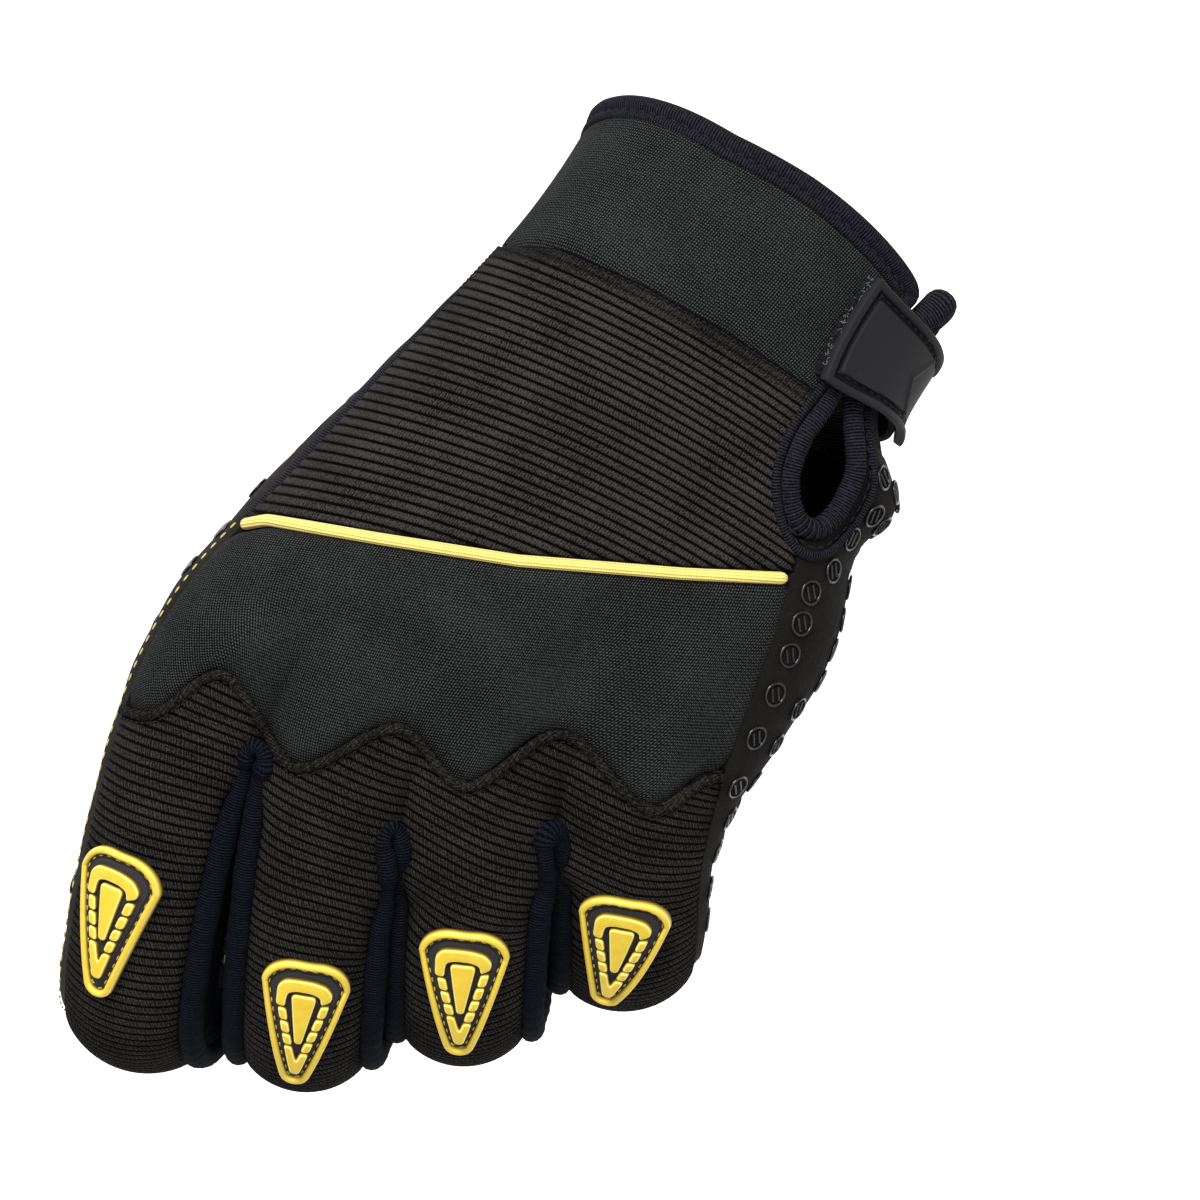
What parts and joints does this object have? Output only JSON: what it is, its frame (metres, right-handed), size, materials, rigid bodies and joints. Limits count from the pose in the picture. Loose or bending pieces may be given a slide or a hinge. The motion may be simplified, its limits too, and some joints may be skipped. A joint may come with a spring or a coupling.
{
  "type": "mechanic glove",
  "caption": "Left-hand mechanic's glove in ribbed cloth, neoprene and suede, closed as round a bar, with rubber finger pads and a strap.",
  "frame": {"origin": "centre of the wrist opening, inside the cuff", "axes": "+Z out of the back of the hand, -Y towards the fingertips, +X towards the little finger"},
  "size_m": [0.1472, 0.1661, 0.1064],
  "materials": {
    "neoprene": "matte",
    "ribbed_cloth": "matte",
    "suede": "matte",
    "navy_knit": "matte",
    "yellow_cord": "matte",
    "yellow_rubber": "satin",
    "dark_rubber": "satin"
  },
  "bodies": {
    "root": {"cuff": "neoprene", "cuff_binding": "navy_knit", "keyhole_binding": "navy_knit", "rib_panel": "ribbed_cloth", "piping": "yellow_cord", "knuckle_panel": "neoprene", "finger_panel": "ribbed_cloth", "thumb_gusset": "navy_knit", "fourchette_index_middle": "navy_knit", "fourchette_middle_ring": "navy_knit", "fourchette_ring_little": "navy_knit", "palm_panel": "suede", "thumb_back": "ribbed_cloth", "thumb_front": "suede", "strap": "navy_knit", "strap_tab": "dark_rubber", "pad_base_index": "dark_rubber", "pad_rim_index": "yellow_rubber", "pad_chain_index": "yellow_rubber", "pad_wedge_index": "yellow_rubber", "pad_base_middle": "dark_rubber", "pad_rim_middle": "yellow_rubber", "pad_chain_middle": "yellow_rubber", "pad_wedge_middle": "yellow_rubber", "pad_base_ring": "dark_rubber", "pad_rim_ring": "yellow_rubber", "pad_chain_ring": "yellow_rubber", "pad_wedge_ring": "yellow_rubber", "pad_base_little": "dark_rubber", "pad_rim_little": "yellow_rubber", "pad_chain_little": "yellow_rubber", "pad_wedge_little": "yellow_rubber"}
  },
  "joints": []
}
